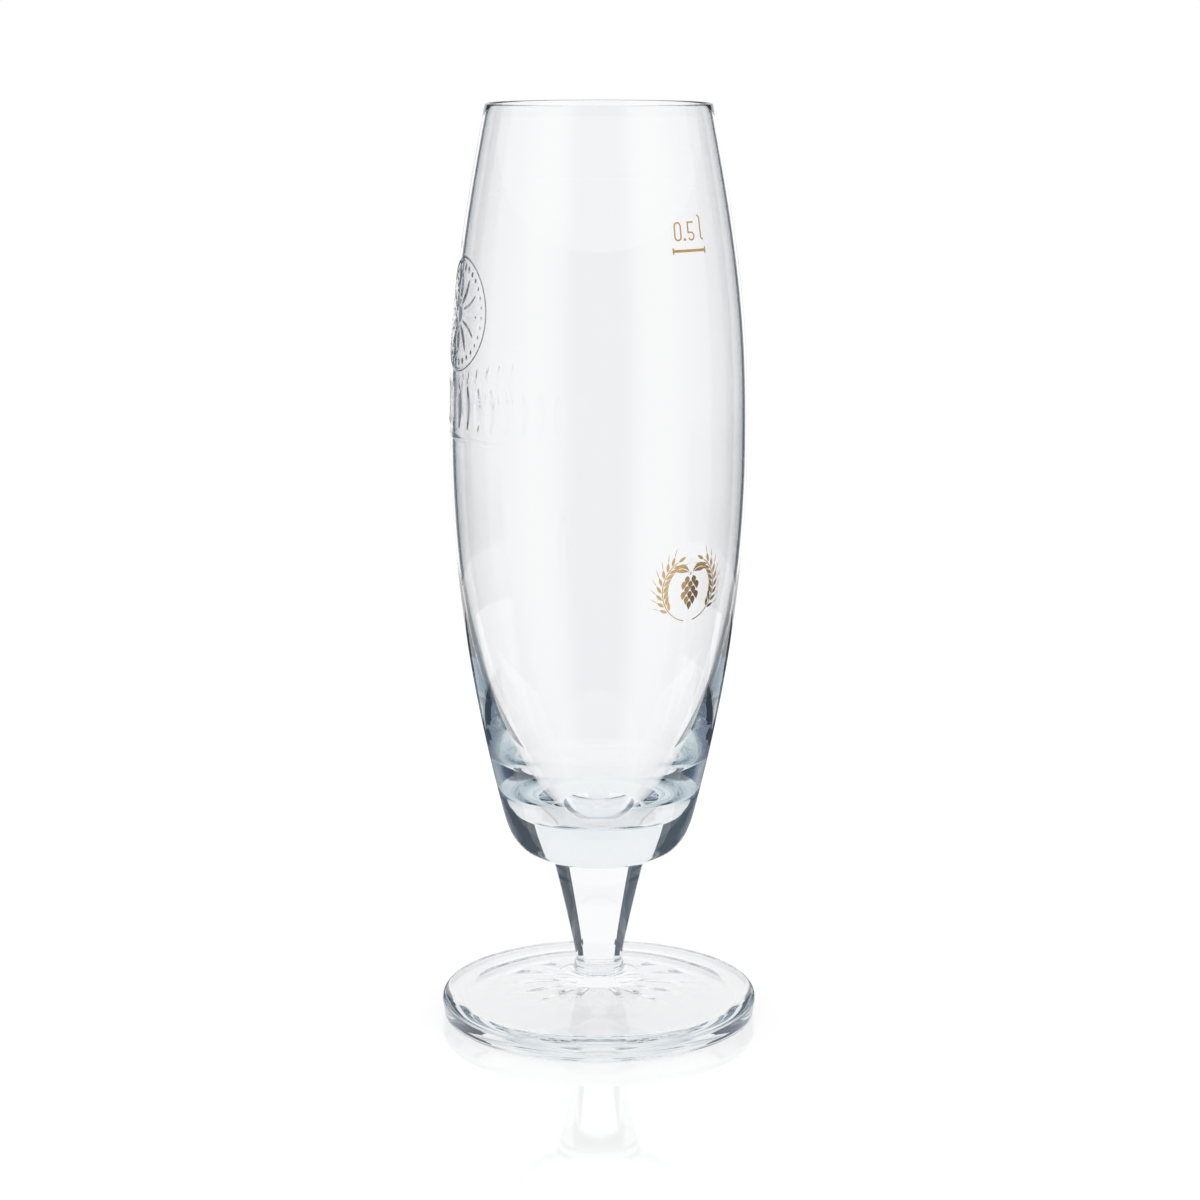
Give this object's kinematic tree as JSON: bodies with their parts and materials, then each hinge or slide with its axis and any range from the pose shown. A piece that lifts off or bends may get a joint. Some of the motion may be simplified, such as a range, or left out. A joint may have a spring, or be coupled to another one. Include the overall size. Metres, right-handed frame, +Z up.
{
  "type": "beer goblet",
  "caption": "Tall stemmed beer glass: slim barrel bowl with a thick solid base, short solid tapered stem, round pressed foot, gold fill mark and small gold emblem.",
  "frame": {"origin": "middle of the ring that the foot stands on, at the level of the table", "axes": "+Z up along the axis of the glass, -Y towards the front that the picture shows, +X to the right of that view"},
  "size_m": [0.0832, 0.0832, 0.239],
  "materials": {
    "clear_glass": "fire-polished clear soda-lime glass",
    "fired_gold": "fired gold film, satin bright"
  },
  "bodies": {
    "root": {"bowl": "clear_glass", "stem": "clear_glass", "foot": "clear_glass", "fill_line": "fired_gold", "numeral_zero": "fired_gold", "decimal_point": "fired_gold", "numeral_five": "fired_gold", "litre_letter": "fired_gold", "emblem_hop_cone": "fired_gold", "emblem_ear_left": "fired_gold", "emblem_ear_right": "fired_gold", "emblem_leaf_left": "fired_gold", "emblem_leaf_right": "fired_gold"}
  },
  "joints": []
}
